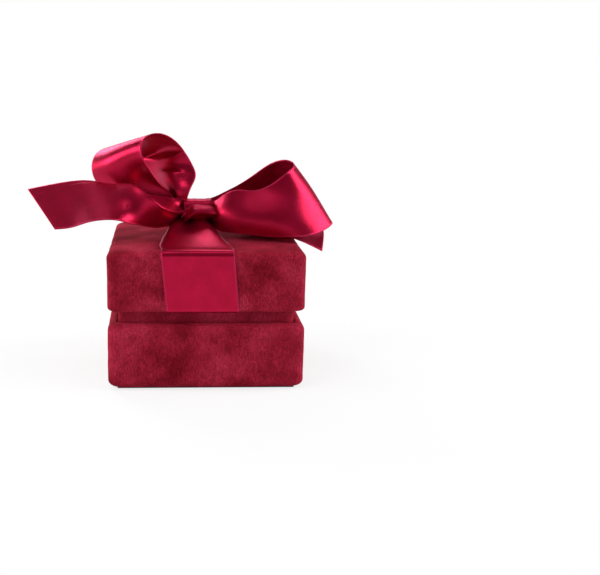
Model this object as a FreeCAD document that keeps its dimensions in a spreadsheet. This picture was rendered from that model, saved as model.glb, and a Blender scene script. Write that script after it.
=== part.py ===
import FreeCAD, Part
import os
import Sketcher
from math import copysign, hypot, pi, sin, sqrt
from FreeCAD import Vector

# Velvet ring box: a square base with a raised neck, a lift-off lid that rests on the neck,
# and a satin ribbon tied in a bow on top. Millimetres, +Z up, the front faces -Y, and the
# origin is the middle of the underside.

os.makedirs("parts", exist_ok=True)
doc = FreeCAD.newDocument("velvet_ring_box")

# ---------------------------------------------------------------- driving dimensions
SIZES = [
    ("box_width", 60.0),          # outside, over the velvet
    ("box_depth", 60.0),
    ("base_height", 20.8),        # underside to shoulder
    ("lid_height", 18.4),         # rim to top
    ("reveal", 3.8),              # neck seen between shoulder and rim
    ("corner_radius", 3.0),       # upright corners
    ("inner_corner", 1.2),        # upright corners inside the neck, the lid and the hem
    ("edge_radius", 2.4),         # soft edges along top and bottom
    ("rim_radius", 1.2),          # tighter roll of the lid's rim and the neck
    ("cover_thickness", 1.1),     # velvet on thin wadding
    ("foot_thickness", 0.5),      # paper sheet under the base
    ("foot_margin", 2.8),
    ("hem_width", 7.0),           # velvet turned under the floor
    ("base_board", 1.9),
    ("floor_board", 1.8),
    ("collar_rise", 9.0),         # neck above the shoulder
    ("collar_board", 1.7),
    ("collar_velvet", 0.9),
    ("lid_clearance", 0.3),       # neck to lid, each side
    ("turn_in", 0.3),             # velvet glued flat inside the rim
    ("top_board", 1.5),
    ("liner_velvet", 0.9),
    ("ceiling_pad", 2.0),
    ("pad_drop", 8.0),            # neck's rim down to the ring pad
    ("pad_velvet", 0.8),
    ("ring_slit", 0.8),           # gap between the two halves of the pad
    ("slit_radius", 2.4),         # roll of the pad into the slit
    ("ribbon_width", 22.0),
    ("ribbon_thickness", 0.35),
    ("ribbon_slant", 1.8),        # sideways run of the band down the side of the lid
    ("knot_width", 8.8),
    ("knot_depth", 8.0),
    ("knot_height", 5.4),
    ("knot_radius", 1.3),
    ("knot_lift", 6.8),           # lid top to the underside of the knot
    ("knot_offset", -2.1),        # the bow sits a little left of the middle
    ("pleat_thickness", 1.5),     # ribbon folded together where it enters the knot
    ("bow_reach", 49.0),          # knot's middle to the end of the longer tail
]
sheet = doc.addObject("Spreadsheet::Sheet", "dims")
for row, (alias, value) in enumerate(SIZES, start=1):
    sheet.set(f"A{row}", alias)
    sheet.set(f"B{row}", str(value))
    sheet.setAlias(f"B{row}", alias)
doc.recompute()

# Distances in from the outside face of the box.
BOARD_OUT = "dims.cover_thickness"
COLLAR_OUT = f"{BOARD_OUT} + dims.base_board"
COLLAR_BOARD_OUT = f"{COLLAR_OUT} + dims.collar_velvet"
COLLAR_BOARD_IN = f"{COLLAR_BOARD_OUT} + dims.collar_board"
COLLAR_IN = f"{COLLAR_BOARD_IN} + dims.collar_velvet"
LID_CAVITY = f"{COLLAR_OUT} - dims.lid_clearance"
LID_BOARD_IN = f"{LID_CAVITY} - dims.turn_in"
LINER_BLOCK_IN = f"{COLLAR_IN} - dims.liner_velvet"

# Heights above the underside.
BOARD_FOOT = "dims.foot_thickness + dims.cover_thickness"
FLOOR_TOP = f"{BOARD_FOOT} + dims.floor_board"
SHOULDER = "dims.base_height"
BOARD_TOP = f"{SHOULDER} - dims.cover_thickness"
COLLAR_TOP = f"{SHOULDER} + dims.collar_rise"
COLLAR_BOARD_TOP = f"{COLLAR_TOP} - dims.collar_velvet"
PAD_TOP = f"{COLLAR_TOP} - dims.pad_drop"
LID_RIM = f"{SHOULDER} + dims.reveal"
LID_TOP = f"{LID_RIM} + dims.lid_height"
LID_BOARD_FOOT = f"{LID_RIM} + dims.cover_thickness"
TOP_BOARD_TOP = f"{LID_TOP} - dims.cover_thickness"
CEILING = f"{TOP_BOARD_TOP} - dims.top_board"
LINER_BLOCK_FOOT = f"{COLLAR_TOP} + dims.liner_velvet"

# Roundings of the upright corners. A board's follows the velvet's, up to a share of its thickness.
BOARD_CORNER_SHARE = 0.9
CORNER = "dims.corner_radius"
INNER_CORNER = "dims.inner_corner"


def board_corner(velvet, board):
    return f"min(dims.corner_radius - {velvet}; {BOARD_CORNER_SHARE} * ({board}))"


BASE_BOARD_CORNER = board_corner("dims.cover_thickness", "dims.base_board")
COLLAR_BOARD_CORNER = board_corner("dims.collar_velvet", "dims.collar_board")
LID_BOARD_CORNER = board_corner("dims.cover_thickness", f"{LID_BOARD_IN} - {BOARD_OUT}")
LID_CAVITY_CORNER = "dims.corner_radius + dims.lid_clearance"

TOUCH = 1e-3


def size(expression):
    """The present value of an expression over the sheet, in millimetres."""
    value = sheet.evalExpression(expression)
    return float(getattr(value, "Value", value))


def half_width(inset):
    return f"(dims.box_width / 2 - ({inset}))"


def half_depth(inset):
    return f"(dims.box_depth / 2 - ({inset}))"


# ---------------------------------------------------------------- bodies and sketches
def new_body(name):
    body = doc.addObject("PartDesign::Body", name)
    body.Label = name
    return body


def ground_sketch(body, name, level):
    """A sketch parallel to the ground at a height."""
    sketch = body.newObject("Sketcher::SketchObject", name)
    plane = next(item for item in body.Origin.OriginFeatures if item.Role == "XY_Plane")
    sketch.AttachmentSupport = [(plane, "")]
    sketch.MapMode = "FlatFace"
    sketch.setExpression("AttachmentOffset.Base.z", level)
    return sketch


def add_outline(sketch, label, inset, radius):
    """A square outline with rounded corners, centred on the box's axis, in from its outside face."""
    x, y, r = size(half_width(inset)), size(half_depth(inset)), size(radius)
    sides = [
        (Vector(r - x, -y, 0), Vector(x - r, -y, 0)),
        (Vector(x, r - y, 0), Vector(x, y - r, 0)),
        (Vector(x - r, y, 0), Vector(r - x, y, 0)),
        (Vector(-x, y - r, 0), Vector(-x, r - y, 0)),
    ]
    centres = [
        Vector(x - r, r - y, 0), Vector(x - r, y - r, 0),
        Vector(r - x, y - r, 0), Vector(r - x, r - y, 0),
    ]
    first = sketch.GeometryCount
    lines, arcs = list(range(first, first + 4)), list(range(first + 4, first + 8))
    for start, end in sides:
        sketch.addGeometry(Part.LineSegment(start, end), False)
    for quarter, centre in enumerate(centres):
        circle = Part.Circle(centre, Vector(0, 0, 1), r)
        turn = (quarter - 1) * pi / 2
        sketch.addGeometry(Part.ArcOfCircle(circle, turn, turn + pi / 2), False)
    for index in range(4):
        following = lines[(index + 1) % 4]
        sketch.addConstraint(Sketcher.Constraint("Tangent", lines[index], 2, arcs[index], 1))
        sketch.addConstraint(Sketcher.Constraint("Tangent", arcs[index], 2, following, 1))
    for line, kind in zip(lines, ("Horizontal", "Vertical", "Horizontal", "Vertical")):
        sketch.addConstraint(Sketcher.Constraint(kind, line))
    for arc in arcs[1:]:
        sketch.addConstraint(Sketcher.Constraint("Equal", arcs[0], arc))
    sketch.addConstraint(Sketcher.Constraint("Symmetric", arcs[0], 3, arcs[2], 3, -1, 1))
    across = Sketcher.Constraint("DistanceX", lines[3], 1, lines[1], 1, 2 * x)
    along = Sketcher.Constraint("DistanceY", lines[0], 1, lines[2], 1, 2 * y)
    sizes = (
        ("width", across, f"2 * {half_width(inset)}"),
        ("depth", along, f"2 * {half_depth(inset)}"),
        ("radius", Sketcher.Constraint("Radius", arcs[0], r), radius),
    )
    for name, constraint, expression in sizes:
        number = sketch.addConstraint(constraint)
        sketch.renameConstraint(number, f"{label}_{name}")
        sketch.setExpression(f"Constraints.{label}_{name}", expression)


def frame_sketch(body, name, level, outer, inner=None):
    """An outline (inset, corner radius), or the ring between two of them."""
    sketch = ground_sketch(body, name, level)
    add_outline(sketch, "outer", *outer)
    if inner is not None:
        add_outline(sketch, "inner", *inner)
    sketch.Visibility = False
    return sketch


def add_pad(body, name, low, high, outer, inner=None):
    pad = body.newObject("PartDesign::Pad", name)
    pad.Profile = frame_sketch(body, f"{name}_sketch", low, outer, inner)
    pad.setExpression("Length", f"({high}) - ({low})")
    doc.recompute()
    return pad


def add_pocket(body, name, low, high, outer, inner=None):
    """A cut that starts at its lower level and goes up."""
    before = body.Shape.Volume
    pocket = body.newObject("PartDesign::Pocket", name)
    pocket.Profile = frame_sketch(body, f"{name}_sketch", low, outer, inner)
    pocket.setExpression("Length", f"({high}) - ({low})")
    pocket.Reversed = True
    doc.recompute()
    if body.Shape.Volume > before - TOUCH:
        raise ValueError(f"{name} cuts nothing")
    return pocket


def upright_corners(shape, inset):
    """Upright edges where the faces at this inset meet."""
    x, y = size(half_width(inset)), size(half_depth(inset))
    names = []
    for index, edge in enumerate(shape.Edges, start=1):
        box = edge.BoundBox
        upright = box.XLength < TOUCH and box.YLength < TOUCH
        if upright and abs(abs(box.Center.x) - x) < TOUCH and abs(abs(box.Center.y) - y) < TOUCH:
            names.append(f"Edge{index}")
    return names


def level_outline(shape, inset, level):
    """Edges round the outline at this inset and height."""
    x, y, z = size(half_width(inset)), size(half_depth(inset)), size(level)
    names = []
    for index, edge in enumerate(shape.Edges, start=1):
        box = edge.BoundBox
        flat = box.ZLength < TOUCH and abs(box.ZMin - z) < TOUCH
        reach_x, reach_y = max(box.XMax, -box.XMin), max(box.YMax, -box.YMin)
        if flat and (abs(reach_x - x) < TOUCH or abs(reach_y - y) < TOUCH):
            names.append(f"Edge{index}")
    return names


def add_fillet(body, name, edges, radius):
    base = body.Tip
    fillet = body.newObject("PartDesign::Fillet", name)
    fillet.Base = (base, edges)
    fillet.setExpression("Radius", radius)
    doc.recompute()
    return fillet


def round_outline(body, name, inset, level, radius):
    return add_fillet(body, name, level_outline(body.Shape, inset, level), radius)


def bevel_outline(body, name, inset, level, setback):
    base = body.Tip
    bevel = body.newObject("PartDesign::Chamfer", name)
    bevel.Base = (base, level_outline(base.Shape, inset, level))
    bevel.setExpression("Size", setback)
    doc.recompute()
    return bevel


def span_box(box, x, y, z):
    """Stretch a box between (low, high) expressions on each axis."""
    for side, axis, (low, high) in zip(("Length", "Width", "Height"), "xyz", (x, y, z)):
        box.setExpression(side, f"({high}) - ({low})")
        box.setExpression(f"Placement.Base.{axis}", low)
    return box


def add_block(name, x, y, z):
    block = doc.addObject("Part::Box", name)
    block.Label = name
    return span_box(block, x, y, z)


def new_box_body(name, x, y, z):
    body = new_body(name)
    span_box(body.newObject("PartDesign::AdditiveBox", f"{name}_block"), x, y, z)
    doc.recompute()
    return body


def add_wall_boards(prefix, suffix, outer, inner, low, high, corner):
    """Four boards round a square: front and back run through, left and right fit between."""
    x_out, x_in = half_width(outer), half_width(inner)
    y_out, y_in = half_depth(outer), half_depth(inner)
    boards = []
    for side, y in (("front", (f"-{y_out}", f"-{y_in}")), ("back", (y_in, y_out))):
        body = new_box_body(f"{prefix}_{side}_{suffix}", (f"-{x_out}", x_out), y, (low, high))
        add_fillet(body, f"{prefix}_{side}_ends", upright_corners(body.Shape, outer), corner)
        boards.append(body)
    for side, x in (("left", (f"-{x_out}", f"-{x_in}")), ("right", (x_in, x_out))):
        boards.append(add_block(f"{prefix}_{side}_{suffix}", x, (f"-{y_in}", y_in), (low, high)))
    return boards


def sheet_block(name, inset, low, high):
    """A flat square sheet or board, a distance in from the outside face."""
    x, y = half_width(inset), half_depth(inset)
    return add_block(name, (f"-{x}", x), (f"-{y}", y), (low, high))


# ---------------------------------------------------------------- base
def make_base_cover():
    """Velvet over the walls, turned over the shoulder to the neck and under the floor."""
    body = new_body("base_cover")
    add_pad(body, "base_cover_block", "dims.foot_thickness", SHOULDER, ("0", CORNER))
    round_outline(body, "base_cover_bottom", "0", "dims.foot_thickness", "dims.edge_radius")
    round_outline(body, "base_cover_shoulder", "0", SHOULDER, "dims.edge_radius")
    add_pocket(body, "neck_opening", BOARD_FOOT, SHOULDER, (COLLAR_OUT, CORNER))
    add_pocket(body, "base_board_room", BOARD_FOOT, BOARD_TOP, (BOARD_OUT, BASE_BOARD_CORNER))
    add_pocket(body, "hem_opening", "dims.foot_thickness", BOARD_FOOT, ("dims.hem_width", INNER_CORNER))
    return body


def make_base():
    foot = sheet_block("base_foot_sheet", "dims.foot_margin", "0", "dims.foot_thickness")
    floor = sheet_block("base_floor_board", COLLAR_OUT, BOARD_FOOT, FLOOR_TOP)
    walls = add_wall_boards("base", "board", BOARD_OUT, COLLAR_OUT,
                            BOARD_FOOT, BOARD_TOP, BASE_BOARD_CORNER)
    return [foot, floor] + walls + [make_base_cover()]


# ---------------------------------------------------------------- neck
def make_collar_cover():
    """Velvet down both faces of the neck and over its rim, with a channel for the boards."""
    body = new_body("collar_cover")
    add_pad(body, "collar_block", FLOOR_TOP, COLLAR_TOP,
            (COLLAR_OUT, CORNER), (COLLAR_IN, INNER_CORNER))
    round_outline(body, "collar_outer_rim", COLLAR_OUT, COLLAR_TOP, "dims.rim_radius")
    bevel_outline(body, "collar_inner_rim", COLLAR_IN, COLLAR_TOP, "dims.rim_radius / 2")
    add_pocket(body, "collar_channel", FLOOR_TOP, COLLAR_BOARD_TOP,
               (COLLAR_BOARD_OUT, COLLAR_BOARD_CORNER), (COLLAR_BOARD_IN, INNER_CORNER))
    return body


def make_collar():
    walls = add_wall_boards("collar", "board", COLLAR_BOARD_OUT, COLLAR_BOARD_IN,
                            FLOOR_TOP, COLLAR_BOARD_TOP, COLLAR_BOARD_CORNER)
    return walls + [make_collar_cover()]


# ---------------------------------------------------------------- ring pad
def make_pad_block(name, side, skin):
    """Half of the ring pad, shrunk all round by a skin, rolled over into the slit."""
    x = half_width(f"{COLLAR_IN} + {skin}")
    far = half_depth(f"{COLLAR_IN} + {skin}")
    near = f"(dims.ring_slit / 2 + {skin})"
    top = f"({PAD_TOP} - {skin})"
    y = (f"-{far}", f"-{near}") if side == "front" else (near, far)
    body = new_box_body(name, (f"-{x}", x), y, (FLOOR_TOP, top))
    uprights = upright_corners(body.Shape, f"{COLLAR_IN} + {skin}")
    add_fillet(body, f"{name}_corners", uprights, f"{INNER_CORNER} - {skin}")
    slit_edges = []
    for index, edge in enumerate(body.Shape.Edges, start=1):
        box = edge.BoundBox
        along_top = box.YLength < TOUCH and abs(box.ZMin - size(top)) < TOUCH
        if along_top and abs(abs(box.Center.y) - size(near)) < TOUCH:
            slit_edges.append(f"Edge{index}")
    add_fillet(body, f"{name}_slit_roll", slit_edges, f"dims.slit_radius - {skin}")
    return body


def make_pad_half(side):
    foam = make_pad_block(f"ring_pad_{side}_foam", side, "dims.pad_velvet")
    outside = make_pad_block(f"ring_pad_{side}_outside", side, "0")
    core = make_pad_block(f"ring_pad_{side}_core", side, "dims.pad_velvet")
    cover = doc.addObject("Part::Cut", f"ring_pad_{side}_cover")
    cover.Label = f"ring_pad_{side}_cover"
    cover.Base = outside
    cover.Tool = core
    return [foam, cover]


# ---------------------------------------------------------------- lid
def make_lid_cover():
    """Velvet over the top and sides of the lid, rolled round the rim and glued inside it."""
    body = new_body("lid_cover")
    add_pad(body, "lid_cover_block", LID_RIM, LID_TOP, ("0", CORNER))
    round_outline(body, "lid_cover_rim", "0", LID_RIM, "dims.rim_radius")
    round_outline(body, "lid_cover_top", "0", LID_TOP, "dims.edge_radius")
    add_pocket(body, "lid_mouth", LID_RIM, LID_BOARD_FOOT, (LID_CAVITY, LID_CAVITY_CORNER))
    add_pocket(body, "lid_board_room", LID_BOARD_FOOT, TOP_BOARD_TOP, (BOARD_OUT, LID_BOARD_CORNER))
    add_pad(body, "lid_turn_in", LID_BOARD_FOOT, COLLAR_TOP,
            (LID_BOARD_IN, INNER_CORNER), (LID_CAVITY, LID_CAVITY_CORNER))
    return body


def make_liner_cover():
    """Velvet on the inner face and the resting face of the lining blocks."""
    body = new_body("lid_liner_cover")
    outer, block, inner = ((inset, INNER_CORNER) for inset in (LID_BOARD_IN, LINER_BLOCK_IN, COLLAR_IN))
    add_pad(body, "liner_rest", COLLAR_TOP, LINER_BLOCK_FOOT, outer, inner)
    add_pad(body, "liner_face", LINER_BLOCK_FOOT, CEILING, block, inner)
    return body


def make_lid():
    top_board = new_body("lid_top_board")
    add_pad(top_board, "lid_top_sheet", CEILING, TOP_BOARD_TOP, (BOARD_OUT, LID_BOARD_CORNER))
    walls = add_wall_boards("lid", "board", BOARD_OUT, LID_BOARD_IN,
                            LID_BOARD_FOOT, CEILING, LID_BOARD_CORNER)
    return [top_board] + walls + [make_lid_cover()]


def make_lid_lining():
    x_out, x_in = half_width(LID_BOARD_IN), half_width(LINER_BLOCK_IN)
    y_out, y_in = half_depth(LID_BOARD_IN), half_depth(LINER_BLOCK_IN)
    z = (LINER_BLOCK_FOOT, CEILING)
    blocks = [
        add_block("liner_front_block", (f"-{x_out}", x_out), (f"-{y_out}", f"-{y_in}"), z),
        add_block("liner_back_block", (f"-{x_out}", x_out), (y_in, y_out), z),
        add_block("liner_left_block", (f"-{x_out}", f"-{x_in}"), (f"-{y_in}", y_in), z),
        add_block("liner_right_block", (x_in, x_out), (f"-{y_in}", y_in), z),
    ]
    ceiling = new_body("lid_ceiling_pad")
    add_pad(ceiling, "ceiling_block", f"{CEILING} - dims.ceiling_pad", CEILING, (COLLAR_IN, INNER_CORNER))
    return blocks + [make_liner_cover(), ceiling]


# ---------------------------------------------------------------- ribbon
KNOT_BASE = f"{LID_TOP} + dims.knot_lift"
KNOT_MIDDLE = f"{KNOT_BASE} + dims.knot_height / 2"
FACETS_PER_STATION = 2
EVEN = (0, 0.25, 0.5, 0.75, 1)      # a ribbon's corners, as shares of the way across it
FLAT = (0, 0, 0)                    # fold weights: one swell, a wave, three pleats


def make_knot():
    """The turn of ribbon that binds the bow: a short flattened roll across the band."""
    knot = new_box_body(
        "bow_knot",
        ("dims.knot_offset - dims.knot_width / 2", "dims.knot_offset + dims.knot_width / 2"),
        ("-dims.knot_depth / 2", "dims.knot_depth / 2"),
        (KNOT_BASE, f"{KNOT_BASE} + dims.knot_height"),
    )
    lengthwise = [
        f"Edge{index}" for index, edge in enumerate(knot.Shape.Edges, start=1)
        if edge.BoundBox.YLength < TOUCH and edge.BoundBox.ZLength < TOUCH
    ]
    add_fillet(knot, "knot_edges", lengthwise, "dims.knot_radius")
    return knot


def fold_heights(chord, shown, folds, spread):
    """How far the ribbon's corners stand off the line between its edges, folded so that it
    measures the shown width from edge to edge along its surface."""
    phases = [pi * corner / (len(spread) - 1) for corner in range(len(spread))]
    shape = [
        sum(fold * sin(mode * phase) / sqrt(mode) for mode, fold in enumerate(folds, start=1))
        for phase in phases
    ]
    peak = max(abs(height) for height in shape)
    if chord >= shown or peak < TOUCH:
        return [0.0] * len(spread)

    def measure(depth):
        steps = zip(spread, spread[1:], shape, shape[1:])
        return sum(hypot((b - a) * chord, (to - at) / peak * depth) for a, b, at, to in steps)

    low, high = 0.0, shown
    while high - low > TOUCH:
        depth = (low + high) / 2
        low, high = (depth, high) if measure(depth) < shown else (low, depth)
    return [height / peak * low for height in shape]


def ribbon_section(near, far, along, folds, shown, spread):
    """The corners of a thin folded strip across the ribbon; pleats thicken it where less shows."""
    chord = near.distanceToPoint(far)
    heights = fold_heights(chord, shown, folds, spread)
    thickness = size("dims.ribbon_thickness") * size("dims.ribbon_width") / max(shown, chord)
    thickness = min(size("dims.pleat_thickness"), thickness)
    across = (far - near).normalize()
    out = along.cross(across).normalize()
    line = [(share * chord, height) for share, height in zip(spread, heights)]
    under, over = [], []
    for before, (place, height), after in zip(line[:1] + line, line, line[1:] + line[-1:]):
        run, rise = after[0] - before[0], after[1] - before[1]
        half = thickness / 2 / hypot(run, rise)
        middle = near + across * place + out * height
        offset = (out * run - across * rise) * half
        under.append(middle - offset)
        over.append(middle + offset)
    return under + over[::-1]


def smooth_edge(points, travel):
    curve = Part.BSplineCurve()
    curve.interpolate(Points=points, Parameters=travel)
    return curve


def ribbon_solid(stations, leave, arrive=None, spread=EVEN):
    """A ribbon through stations, in flat facets. A station is the ribbon's middle, its direction
    across, the share of its full width that it spans, its folds, and how much of it shows.

    leave and arrive are the directions in which it leaves its first station and meets its last."""
    width = size("dims.ribbon_width")
    middles = [Vector(station[0]) for station in stations]
    halves = [Vector(station[1]).normalize() * (width * station[2] / 2) for station in stations]
    travel = [0.0]
    for start, end in zip(middles, middles[1:]):
        travel.append(travel[-1] + start.distanceToPoint(end))
    near = smooth_edge([middle - half for middle, half in zip(middles, halves)], travel)
    far = smooth_edge([middle + half for middle, half in zip(middles, halves)], travel)

    def blend(here, there, share):
        """Folds and shown width, part of the way from one station to the next."""
        folds = [a + (b - a) * share for a, b in zip(here[3], there[3])]
        return folds, (here[4] + (there[4] - here[4]) * share) * width

    steps, folded = [], []
    for low, high, here, there in zip(travel, travel[1:], stations, stations[1:]):
        for step in range(FACETS_PER_STATION):
            share = step / FACETS_PER_STATION
            steps.append(low + (high - low) * share)
            folded.append(blend(here, there, share))
    steps.append(travel[-1])
    folded.append(blend(stations[-1], stations[-1], 1))
    alongs = [near.tangent(step)[0] + far.tangent(step)[0] for step in steps]
    alongs[0] = leave
    alongs[-1] = arrive or alongs[-1]
    sections = [
        ribbon_section(near.value(step), far.value(step), along, folds, shown, spread)
        for step, along, (folds, shown) in zip(steps, alongs, folded)
    ]
    faces = [Part.Face(Part.makePolygon(end + [end[0]])) for end in (sections[0], sections[-1])]
    for here, there in zip(sections, sections[1:]):
        for side in range(len(here)):
            beside = (side + 1) % len(here)
            start, end, end_on, start_on = here[side], here[beside], there[beside], there[side]
            if side >= len(spread):     # the upper face is split along the same diagonals as the lower
                start, end, end_on, start_on = end, start, start_on, end_on
            faces.append(Part.Face(Part.makePolygon([start, end, end_on, start])))
            faces.append(Part.Face(Part.makePolygon([start, end_on, start_on, start])))
    shell = Part.makeShell(faces)
    shell.sewShape()
    solid = Part.Solid(shell)
    if solid.Volume < 0:
        solid.reverse()
    return solid


def add_ribbon(name, shape):
    piece = doc.addObject("Part::Feature", name)
    piece.Label = name
    piece.Shape = shape
    return piece


# Each loop and tail, as stations drawn for the sizes below: middle of the ribbon measured from the
# centre of the knot, direction from its near edge to its far edge, share of its width to which it
# has opened, folds, and share of its width that shows. The first and last stations of a loop, and
# the first of a tail, lie flat on the knot's side faces.
LEFT, RIGHT = Vector(-1, 0, 0), Vector(1, 0, 0)
DRAWN_REACH = 49.0
DRAWN_SIDE = 4.4
DRAWN_RISE = 9.5        # lid's top to the knot's middle

LEFT_LOOP = [
    ((-4.4, 1.2, 1.7), (0, 1, 0), 0.22, FLAT, 0.22),
    ((-6.3, 1.7, 4.5), (-4, 4, 0), 0.34, (0.6, 0.3, 0.2), 0.44),
    ((-7.2, 2.6, 6.2), (-10.2, 7.5, -1), 0.60, (1, 0.4, 0.1), 0.84),
    ((-7.7, 4.2, 9.4), (-14.3, 11.6, -2.5), 0.84, (1, 0.4, 0), 1),
    ((-9.0, 5.2, 12.6), (-13.8, 12.6, -3.5), 0.92, (0.5, 0.6, 0), 1),
    ((-14.0, 5.2, 18.2), (-14, 14, -5), 0.99, (-1, 0, 0), 1),
    ((-20.0, 3.6, 20.8), (-14.5, 14.5, -5.5), 1.0, (-1, 0, 0), 1),
    ((-24.6, 1.2, 19.4), (-16, 13.5, -6), 1.0, (-1, 0, 0), 1),
    ((-26.0, -0.8, 14.6), (-16.5, 12.5, -7.5), 0.99, (-0.8, 0.3, 0), 1),
    ((-23.6, -0.6, 9.4), (-15, 12, -8.5), 0.97, (-0.3, 0.5, 0.3), 1),
    ((-18.4, 0.8, 4.6), (-12, 9.5, -6), 0.78, (-0.1, 0.4, 0.9), 0.95),
    ((-10.6, 1.9, 0.1), (-5, 5, -1), 0.42, (0, 0.1, 0.8), 0.48),
    ((-4.4, 1.4, -0.9), (0, 1, 0), 0.20, FLAT, 0.20),
]
LEFT_TAIL = [
    ((-4.4, -2.3, 0.1), (0, 0, 1), 0.22, FLAT, 0.22),
    ((-8.8, -6.2, -1.3), (-1, 4.5, 7), 0.52, (-0.8, -0.4, -0.1), 0.68),
    ((-14.8, -8.6, -0.3), (-1, 12, 9), 0.74, (-0.8, -0.3, 0), 0.91),
    ((-18.8, -9.8, 0.8), (-1, 14, 9.2), 0.78, (-0.8, 0, 0), 1),
    ((-22.8, -10.4, 2.0), (-1, 15, 9.5), 0.85, (-0.8, 0.4, 0), 1),
    ((-26.8, -10.8, 2.8), (-1, 16, 10.2), 0.93, (-0.2, 0.4, 0), 1),
    ((-32.4, -11.0, 3.3), (-1, 17, 11.5), 0.99, (0.6, 0, 0), 1),
    ((-41.0, -11.0, 2.2), (-5, 17, 11), 1.0, (0.5, 0, 0), 1),
    ((-49.0, -11.0, 0.5), (-10.5, 17, 10.2), 1.06, FLAT, 1),
]
RIGHT_LOOP = [
    ((4.4, 2.6, 0.6), (0, 0, 1), 0.18, FLAT, 0.18),
    ((9.0, 2.8, 1.4), (0.5, 3, 6), 0.30, (-0.2, 0.2, 0.7), 0.48),
    ((16.0, 3.0, 2.4), (1, 3, 13), 0.56, (-0.6, 0.4, 0.3), 0.77),
    ((24.6, 2.0, 4.0), (-3, 2, 19), 0.86, (-1, 0.2, 0), 0.98),
    ((32.0, 0.0, 5.0), (-7, 1, 20), 0.98, (-1, 0, 0), 1),
    ((36.8, -4.0, 5.0), (-12.3, 2, 18.2), 1.0, (-1, 0, 0), 1),
    ((34.4, -9.0, 3.3), (-12.5, 3, 18), 1.0, (-1, 0, 0), 1),
    ((28.4, -11.4, 0.7), (-10, 3, 17), 0.90, (-1, 0, 0), 0.93),
    ((19.4, -10.8, -0.9), (-5, 2.5, 15), 0.70, (-1, 0.3, 0), 0.80),
    ((13.2, -8.4, -0.7), (-2, 2, 14), 0.64, (-1, 0.3, 0.1), 0.75),
    ((8.4, -5.6, -1.3), (-1, 1.5, 12), 0.50, (-0.9, 0.3, 0.2), 0.61),
    ((4.4, -2.6, -0.5), (0, 0, 1), 0.20, FLAT, 0.20),
]
RIGHT_TAIL = [
    ((4.4, -0.1, -1.9), (0, 1, 0), 0.13, FLAT, 0.13),
    ((10.5, 0.6, -4.6), (1, 10, 0), 0.46, FLAT, 0.46),
    ((18.5, 2.4, -7.0), (1.5, 14, 0.6), 0.76, FLAT, 0.76),
    ((28.0, 3.8, -8.1), (1, 18, 0.8), 0.92, FLAT, 0.92),
    ((33.0, 4.0, -8.8), (1.4, 18, 1.6), 0.98, FLAT, 0.98),
    ((41.6, 4.2, -11.2), (2.4, 18, 4.0), 0.98, FLAT, 0.98),
]


def make_bow():
    centre = Vector(size("dims.knot_offset"), 0, size(KNOT_MIDDLE))
    side = size("dims.knot_width") / 2
    grow = (size("dims.bow_reach") - side) / (DRAWN_REACH - DRAWN_SIDE)
    drop = (size("dims.knot_lift") + size("dims.knot_height") / 2) / DRAWN_RISE

    def placed(stations):
        """The stations moved to the knot, and stretched to the bow's reach and its height."""
        moved = []
        for (x, y, z), *rest in stations:
            x = copysign(side + (abs(x) - DRAWN_SIDE) * grow, x)
            moved.append((Vector(x, y * grow, z * (grow if z > 0 else drop)) + centre, *rest))
        return moved

    return [
        make_knot(),
        add_ribbon("bow_left_loop", ribbon_solid(placed(LEFT_LOOP), LEFT, RIGHT)),
        add_ribbon("bow_left_tail", ribbon_solid(placed(LEFT_TAIL), LEFT)),
        add_ribbon("bow_right_loop", ribbon_solid(placed(RIGHT_LOOP), RIGHT, LEFT)),
        add_ribbon("bow_right_tail", ribbon_solid(placed(RIGHT_TAIL), RIGHT, spread=(0, 1))),
    ]


# The band's gather on top of the lid, from its edge in to the knot: share of the way in, share of
# its rise, sideways place from the knot's middle, share of its width spanned, folds, share shown.
GATHER = [
    (0.00, 0.00, -0.7, 1.0, FLAT, 1),
    (0.20, 0.03, -1.3, 0.985, (-1, 0, -0.2), 1),
    (0.34, 0.05, -1.6, 0.93, (-1, 0, -0.5), 1),
    (0.47, 0.06, -1.8, 0.84, (-1, 0, -1.0), 0.98),
    (0.65, 0.12, -2.1, 0.65, (-1, 0, -1.4), 0.91),
    (0.76, 0.22, -2.3, 0.52, (-1, 0, -1.4), 0.80),
    (0.84, 0.40, -2.3, 0.43, (-1, 0, -1.1), 0.64),
    (0.91, 0.88, -2.2, 0.36, FLAT, 0.36),
    (1.00, 1.00, -2.1, 0.34, FLAT, 0.34),
]
GATHER_SPREAD = (0, 0.2, 0.4, 0.7, 1)   # its corners: two swells, and a hollow left of the middle
BACK_TIGHTENED = 0.7                    # the back of the gather is drawn in tighter near the knot
TIGHT_FROM = 0.4
GATHER_GAP = 1.0                        # between the two ends under the knot
CREASE_OFFSET = -0.7                    # where the band crosses the lid's edge, from the knot's middle


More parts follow.
